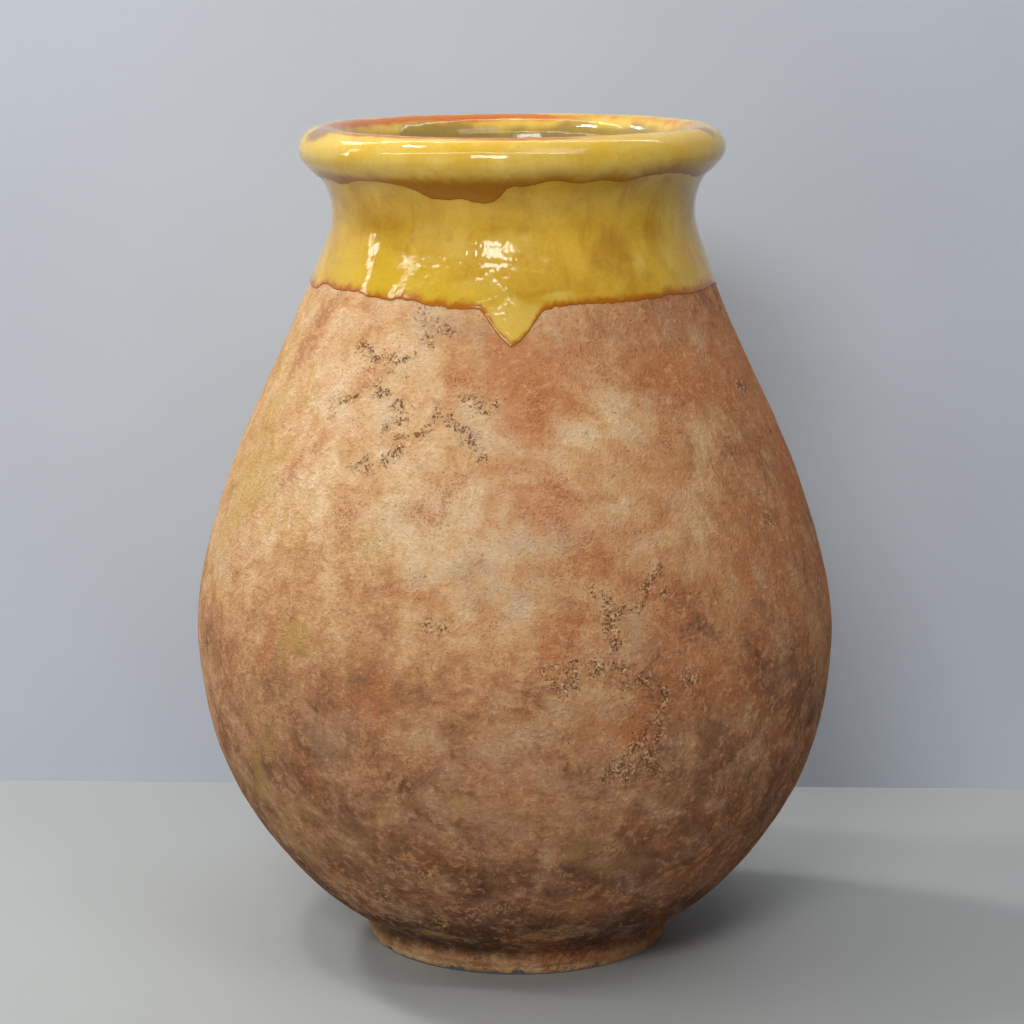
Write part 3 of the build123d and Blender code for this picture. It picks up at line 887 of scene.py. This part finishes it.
# The first coat, dipped from the neck up. Its lower edge runs down to a tongue in front.
neckCoat = {
    "edgeLevel": 0.650, "edgeSwing": 0.012, "tongueLength": 0.036, "tongueAngle": 8.2,
    "thickness": 0.0011, "bead": 0.0020, "ragged": 0.0013, "rimmed": 0.0078,
    # share of the tongue's half width, and of its length, from its shoulder to its tip
    "tongue": [(1, 0.15), (0.80, 0.33), (0.58, 0.55), (0.34, 0.79), (0, 1)],
    # share of a turn from the front, and of the swing
    "edge": [
        (0.029, -0.27), (0.051, -0.05), (0.074, -0.10), (0.115, 0), (0.139, 0.05), (0.172, -0.06),
        (0.217, 0.07), (0.250, -0.30), (0.290, 0.25), (0.330, 0.55), (0.370, 0.10), (0.410, -0.35),
        (0.450, -0.10), (0.490, 0.40), (0.530, 0.20), (0.570, -0.45), (0.610, -0.20), (0.650, 0.30),
        (0.690, 0.05), (0.730, -0.35), (0.762, 0.10), (0.798, -0.08), (0.820, 0.52), (0.838, 0.27),
        (0.863, 0.42), (0.880, 0.17), (0.896, 0.02), (0.915, 0.18), (0.934, -0.12), (0.949, -0.28),
        (0.965, -0.38),
    ],
    # tones: angle, height, half width and half height in mm, strength
    "lemon": [(-38, 668, 60, 22, 0.8), (-14, 655, 60, 12, 0.6), (18, 655, 40, 8, 0.4), (-60, 676, 30, 26, 0.7)],
    "amber": [(29, 692, 22, 28, 0.46), (-44, 720, 30, 14, 0.36), (46, 706, 12, 26, 0.36),
              (-24, 690, 14, 20, 0.16), (8, 660, 30, 4, 0.4)],
    "straw": [(6, 636, 14, 16, 0.75), (14, 655, 14, 6, 0.8), (-9, 664, 26, 9, 0.6), (-30, 690, 10, 14, 0.5),
              (-17, 700, 12, 12, 0.5), (38, 676, 8, 14, 0.5), (52, 690, 8, 16, 0.4), (-2, 706, 24, 12, 0.3),
              (-4, 694, 50, 20, 0.4), (36, 690, 44, 26, 0.35), (0, 634, 24, 24, 0.9)],
}
# The second coat, over the rolled rim. Its lobed edge hangs below the roll.
rimCoat = {
    "edgeLevel": 0.757, "edgeSwing": 0.016,
    "thickness": 0.0011, "bead": 0.0035, "ragged": 0.0006, "rimmed": 0.0012,
    "edge": [
        (0.009, -0.05), (0.031, 0.27), (0.053, 0.08), (0.068, 0.22), (0.090, 0.06), (0.105, 0.30),
        (0.130, 0.35), (0.155, 0.22), (0.190, -0.15), (0.225, 0.05), (0.270, 0.30), (0.310, -0.30),
        (0.350, -0.55), (0.390, 0.10), (0.430, 0.35), (0.470, 0.10), (0.510, -0.40), (0.550, -0.65),
        (0.585, -0.10), (0.630, 0.30), (0.670, 0.15), (0.710, -0.25), (0.750, 0.05), (0.785, -0.17),
        (0.815, -0.12), (0.838, -0.29), (0.862, 0.01), (0.892, 0.08), (0.918, -0.31), (0.932, -0.80),
        (0.945, -0.88), (0.958, -0.80), (0.977, -1.04), (0.987, -0.84), (0.996, -0.18),
    ],
    # the burnt line in mm: radius, width and heights, then how strong it is all round and in places
    "burntRadius": 172, "burntWidth": 7.5, "frontShift": 13.5, "frontNarrower": 3.5, "burntLevels": (770, 780),
    "burntAll": 0.46, "frontLess": 0.30, "burntPlaces": [(-138, 38, 75, 0.54), (-20, 28, 55, 0.65)],
    # amber where the coat pooled at its edge, and under the roll as pooled glaze and painted shade; khaki
    # within the inner radii
    "pooledHeight": 0.013, "pooled": 0.95, "underRollAmberAndShade": 0.9, "underLevels": (755, 774),
    "innerRadii": (156, 172),
    "mauve": [(-70, 797, 26, 9, 0.9), (72, 797, 16, 8, 0.7), (-120, 797, 20, 8, 0.5)],
}
# The skin of both coats: rows in mm from the edge, then swells, and ripples where they break up the shine.
glazeSkin = {
    "nearRows": [0, 0.15, 0.4, 0.75, 1.2, 1.7, 2.3, 3.1, 4.1], "farFrom": 0.0054, "rowStep": 0.0014,
    "backStep": 0.010, "sunk": 0.0002, "swells": [(0.017, 0.00016), (0.0075, 0.00004)],
    "ripples": [(0.0068, 0.00022), (0.0034, 0.00012)],
    "ripplePlaces": [(-14, 684, 62, 20, 1.0), (-2, 696, 40, 30, 0.95)],
    "raggedness": [(0.011, 0.9), (0.0045, 0.6), (0.0021, 0.35)], "raggedRadius": 0.19,
}


def edgeLine(turnShares, places, loops):
    # A flowing line through the places. It starts and ends at its tip unless it loops.
    places = np.array(places, float)
    if loops:
        places = np.concatenate([places[-2:] - (1, 0), places, places[:2] + (1, 0)])
    across, up = places.T
    slopes = np.gradient(up, across)
    i = np.clip(np.searchsorted(across, turnShares, side="right") - 1, 0, len(across) - 2)
    gap = across[i + 1] - across[i]
    return onCurve((turnShares - across[i]) / gap, gap, up, slopes, i)


def raggedness(amount, seed):
    around = ring(turnsOf(jar["columns"]), glazeSkin["raggedRadius"], 0.0)
    return amount * clouds(around, glazeSkin["raggedness"], seed)


def glazeCoat(name, node, coat, edgeReach, endReach, under, finish, marksFor):
    # A skin of glaze from a wavy edge up to an end line. It is a rounded bead at the edge.
    turn = turnsOf(jar["columns"])
    near = np.array(glazeSkin["nearRows"]) * mm
    full = float(endReach - edgeReach.mean())
    spread = np.concatenate([near, rowsBetween(glazeSkin["farFrom"], full, glazeSkin["rowStep"])])
    away = spread[:, None] * (endReach - edgeReach) / full
    reach = edgeReach + away
    plain = placed(turn, reach, 0 * turn)
    share = np.clip(away / coat["bead"], 0, 1)
    body = np.sqrt(1 - (1 - share) ** 2)
    rough = spotted(plain, glazeSkin["ripplePlaces"], [0, 0], 0.6)
    swell = clouds(plain, glazeSkin["swells"], 31) * (1 - 0.5 * rough)
    swell += clouds(plain, glazeSkin["ripples"], 33) * rough
    base = clayShape(plain) + under
    skin = placed(turn, reach, base + body * coat["thickness"] + swell * body)
    backRows = rowsBetween(0, full, glazeSkin["backStep"])[::-1]
    backReach = edgeReach + backRows[:, None] * (endReach - edgeReach) / full
    backPlain = placed(turn, backReach, 0 * turn)
    back = placed(turn, backReach, clayShape(backPlain) + under - glazeSkin["sunk"])
    rings = np.concatenate([skin, back])
    shownRows = len(spread)
    marks = marksFor(plain, away)
    marks["rimmed"] = np.exp(-(away / coat["rimmed"]))
    piece = turnedPiece(name, rings, shownRows, cornerRings=[shownRows - 1, shownRows, len(rings) - 1],
                        attributes=marks)
    piece.data.materials.append(finish)
    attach(piece, "root")
    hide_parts(node)
    print("%s: %d rings" % (name, len(rings)))


def neckMarks(points, away):
    wander = wandering(points, 8, 3, 50)
    return {label: spotted(points, neckCoat[label], wander, feather)
            for label, feather in (("lemon", 0.6), ("amber", 0.6), ("straw", 0.5))}


def facing(angle, middle, near, far):
    # 1 within the near angle of the middle, falling to 0 at the far one.
    return 1 - eased(near, far, np.abs((angle - middle + 180) % 360 - 180))


def rimMarks(points, away):
    coat = rimCoat
    wander = wandering(points, 6, 3, 55)
    angle = np.degrees(np.arctan2(points[..., 0], -points[..., 1]))
    level = points[..., 2] / mm
    radius = np.hypot(points[..., 0], points[..., 1]) / mm
    # the burnt line follows the inner side of the crest, strongest behind on the left
    frontness = facing(angle, 0, 60, 100)
    strength = coat["burntAll"] - coat["frontLess"] * frontness
    for middle, near, far, more in coat["burntPlaces"]:
        strength += more * facing(angle, middle, near, far)
    across = (radius - coat["burntRadius"] - coat["frontShift"] * frontness + wander[0] * 0.4) / (
        coat["burntWidth"] - coat["frontNarrower"] * frontness)
    pooled = coat["pooled"] * np.exp(-(away / coat["pooledHeight"]))
    # under the roll the amber is pooled glaze and painted shade
    underRollAmberAndShade = coat["underRollAmberAndShade"] * (1 - eased(*coat["underLevels"], level))
    return {"burnt": np.exp(-across ** 2) * eased(*coat["burntLevels"], level) * strength,
            "inner": 1 - eased(*coat["innerRadii"], radius + wander[1]), "amber": np.maximum(pooled, underRollAmberAndShade),
            "mauve": spotted(points, coat["mauve"], [0, 0], 0.6)}


turnShares = turnsOf(jar["columns"]) / (2 * pi)
tongueSide = [(across * neckCoat["tongueAngle"] / 360, neckCoat["edgeLevel"] - down * neckCoat["tongueLength"])
              for across, down in neckCoat["tongue"]]
neckPlaces = ([*reversed(tongueSide)]
              + [(share, neckCoat["edgeLevel"] + neckCoat["edgeSwing"] * up) for share, up in neckCoat["edge"]]
              + [(1 - share, level) for share, level in tongueSide])
neckLine = edgeLine(turnShares, neckPlaces, False) + raggedness(neckCoat["ragged"], 35)
rimPlaces = [(share, rimCoat["edgeLevel"] + rimCoat["edgeSwing"] * up) for share, up in rimCoat["edge"]]
rimLine = edgeLine(turnShares, rimPlaces, True) + raggedness(rimCoat["ragged"], 38)

glazeCoat("neckGlaze", "neck_glaze", neckCoat, reachAt(neckLine), mouthReach, 0.0,
          neckFinish, neckMarks)
glazeCoat("rimGlaze", "rim_glaze", rimCoat, reachAt(rimLine), mouthReach, neckCoat["thickness"],
          rimFinish, rimMarks)


def makeLining():
    # The glaze inside, from the mouth down the throat and the wall to the floor.
    lining = {"columns": 720, "coat": 0.0012, "floor": 0.0012, "fineFrom": 0.60, "wallStep": 0.008,
              "fineStep": 0.003, "throatStep": 0.002, "floorTo": 0.03, "floorRows": 26, "floorMiddle": 0.04}
    turn = turnsOf(lining["columns"])
    wall, coat = jar["wall"], lining["coat"]
    top = jar["footHeight"]
    fineFrom = reachAt(lining["fineFrom"])
    wallRows = np.concatenate([rowsBetween(creaseReach + 0.012, fineFrom, lining["wallStep"])[:-1],
                               rowsBetween(fineFrom, reachAt(jar["neckHeight"]), lining["fineStep"])])
    throatRadius = jar["neckRadius"] - wall
    mouthHeight = onOutline("level", mouthReach)
    throat = rowsBetween(jar["neckHeight"] + lining["throatStep"], mouthHeight, lining["throatStep"])
    hiddenWall = [ringAt(turn, r, -wall) for r in wallRows[::6]]
    hidden = [ring(turn, lining["floorMiddle"], top), ring(turn, jar["floorEdge"], top), *hiddenWall,
              ring(turn, throatRadius, jar["neckHeight"] + 0.004), ring(turn, throatRadius, mouthHeight)]
    shownThroat = [ring(turn, throatRadius - coat, z) for z in throat[::-1]]
    shownWall = [ringAt(turn, r, -(wall + coat)) for r in wallRows[::-1]]
    floorRows = np.linspace(jar["floorEdge"] + 0.002, lining["floorTo"], lining["floorRows"])
    floor = [ring(turn, r, top + lining["floor"]) for r in floorRows]
    shown = np.concatenate([*shownThroat, *shownWall, *floor])
    bend = cloud(shown, 0.05, 71) * 0.0006 + cloud(shown * (0.1, 0.1, 1), 0.012, 72) * 0.0003
    bend *= eased(0.024, 0.05, shown[..., 2])
    inward = -shown * (1, 1, 0)
    inward /= np.linalg.norm(inward, axis=-1, keepdims=True)
    shown = shown + inward * np.abs(bend)[..., None]
    hidden = np.concatenate(hidden)
    rings = np.concatenate([hidden, shown])
    nearMouth = np.concatenate([0 * hidden[..., 0], eased(0.745, 0.775, shown[..., 2])])
    piece = turnedPiece("innerGlaze", rings, len(rings), closed=False, firstPole=(0, 0, top),
                        lastPole=(0, 0, top + lining["floor"]), cornerRings=[len(hidden) - 1],
                        attributes={"lemon": nearMouth * 0.4}, folds=2)
    piece.data.materials.append(liningFinish)
    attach(piece, "root")
    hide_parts("inner_glaze")
    print("lining laid")


makeLining()

# The room: a pale floor, a plain pale wall behind, and soft lamps from the upper left.
room = {
    "wallDistance": 0.513, "wallTurn": -1.7, "floorSize": 14.0, "floorHole": 0.143, "holePoints": 96,
    "floorColour": (176, 180, 180), "wallColour": (205, 213, 225), "cloudColour": (150, 150, 148),
    "cloudSize": 0.5, "cloudMost": 0.10, "shine": 0.2, "skyColour": (0.86, 0.92, 1.0, 1), "skyStrength": 0.056,
}


def plainSheet(name, corners, faces, colour, roughness):
    mesh = bpy.data.meshes.new(name)
    mesh.from_pydata(corners, [], faces)
    sheet = bpy.data.objects.new(name, mesh)
    bpy.context.scene.collection.objects.link(sheet)
    material, tree, shader, where = newFinish(name)
    cloudy = mottle(tree, where, room["cloudSize"], 4, 0.5)
    colour = tinted(tree, paint(*colour), cloudy, 0.3, 0.7, room["cloudMost"], room["cloudColour"])
    feed(tree, shader.inputs["Base Color"], colour)
    shader.inputs["Roughness"].default_value = roughness
    shader.inputs["Specular IOR Level"].default_value = room["shine"]
    # each sheet shows only from its front, so that views from behind and below stay open
    clear = tree.nodes.new("ShaderNodeBsdfTransparent")
    either = tree.nodes.new("ShaderNodeMixShader")
    tree.links.new(tree.nodes.new("ShaderNodeNewGeometry").outputs["Backfacing"], either.inputs[0])
    tree.links.new(shader.outputs[0], either.inputs[1])
    tree.links.new(clear.outputs[0], either.inputs[2])
    tree.links.new(either.outputs[0], tree.nodes["Material Output"].inputs["Surface"])
    mesh.materials.append(material)
    sheet.visible_shadow = False


# The floor is open under the foot, out of sight, so that some light reaches the underside.
half, points = room["floorSize"] / 2, room["holePoints"]
ways = np.stack([np.cos(turnsOf(points)[0]), np.sin(turnsOf(points)[0])], axis=1)
floorEdge = ways / np.abs(ways).max(axis=1, keepdims=True) * half
floorHole = ways * room["floorHole"] + (settling["leans"][0], 0)
plainSheet("floor", [(x, y, 0) for x, y in np.concatenate([floorEdge, floorHole])],
           [(k, (k + 1) % points, points + (k + 1) % points, points + k) for k in range(points)],
           room["floorColour"], 0.6)
lineTurn = radians(room["wallTurn"])
wallEnds = [(x * cos(lineTurn), room["wallDistance"] + x * sin(lineTurn)) for x in (-half, half)]
plainSheet("wall", [(*wallEnds[0], 0), (*wallEnds[1], 0), (*wallEnds[1], half), (*wallEnds[0], half)],
           [(0, 1, 2, 3)], room["wallColour"], 0.8)

lamps = {
    # place, aim, the way its width runs, width, height, watts, colour
    "windowLamp": ((-0.82, -3.93, 2.75), (0, 0, 0.45), (1, 0, 0), 1.4, 1.0, 72, (1.0, 0.985, 0.96)),
    "topLamp": ((0.15, -0.35, 3.10), (0, 0, 0.40), (1, 0, 0), 1.5, 1.5, 1.5, (1.0, 0.98, 0.95)),
    "backLamp": ((-3.15, 2.10, 3.80), (0, 0, 0.35), (1, 0, 0), 0.55, 0.55, 79, (1.0, 0.98, 0.95)),
    "leftLamp": ((-1.25, -0.05, 2.75), (0, 0, 0.60), (1, 0, 0), 0.26, 0.26, 14, (1.0, 0.98, 0.94)),
    "lowLamp": ((-1.35, -1.35, 0.90), (0, 0, 0.40), (1, 0, 0), 1.1, 1.1, 2.4, (1.0, 0.98, 0.95)),
    "rightLamp": ((0.80, -1.35, 2.60), (0, 0, 0.40), (1, 0, 0), 1.0, 1.0, 10, (1.0, 0.98, 0.95)),
    "frontStrip": ((-0.55, -1.12, 1.92), (0, -0.1, 0.68), (3.3, -1.05, 0.55), 3.5, 0.035, 10.5,
                   (1.0, 0.98, 0.95)),
    "rearStrip": ((0.0, 0.42, 1.85), (0, -0.1, 0.78), (1, 0, 0), 2.2, 0.03, 4.2, (1.0, 0.98, 0.95)),
    "sideStrip": ((-2.3, 0.25, 1.50), (0, 0, 0.68), (0, 0, 1), 1.1, 0.09, 4.6, (1.0, 0.98, 0.95)),
}


def hangLamp(name, place, aim, along, width, height, watts, colour):
    light = bpy.data.lights.new(name, "AREA")
    light.shape = "RECTANGLE"
    light.size, light.size_y = width, height
    light.energy, light.color = watts, colour
    backward = (Vector(place) - Vector(aim)).normalized()
    upward = backward.cross(Vector(along)).normalized()
    sideways = upward.cross(backward)
    lamp = bpy.data.objects.new(name, light)
    lamp.matrix_world = Matrix.LocRotScale(
        Vector(place), Matrix((sideways, upward, backward)).transposed().to_quaternion(), None)
    bpy.context.scene.collection.objects.link(lamp)


for name, setting in lamps.items():
    hangLamp(name, *setting)

sky = bpy.data.worlds.new("softSky")
sky.use_nodes = True
sky.node_tree.nodes["Background"].inputs["Color"].default_value = room["skyColour"]
sky.node_tree.nodes["Background"].inputs["Strength"].default_value = room["skyStrength"]
bpy.context.scene.world = sky
bpy.context.scene.view_settings.view_transform = "Standard"
print("room lit")

camera = {
    "distance": 2.91728, "height": 0.98470, "aside": -0.0027, "pitch": 10.8994, "lens": 107.05, "sensor": 36.0,
}
lensData = bpy.data.cameras.new("camera")
lensData.lens = camera["lens"]
lensData.sensor_width = camera["sensor"]
viewer = bpy.data.objects.new("camera", lensData)
viewer.location = (camera["aside"], -camera["distance"], camera["height"])
viewer.rotation_euler = (radians(90 - camera["pitch"]), 0, 0)
bpy.context.scene.collection.objects.link(viewer)
bpy.context.scene.camera = viewer
print("camera placed")
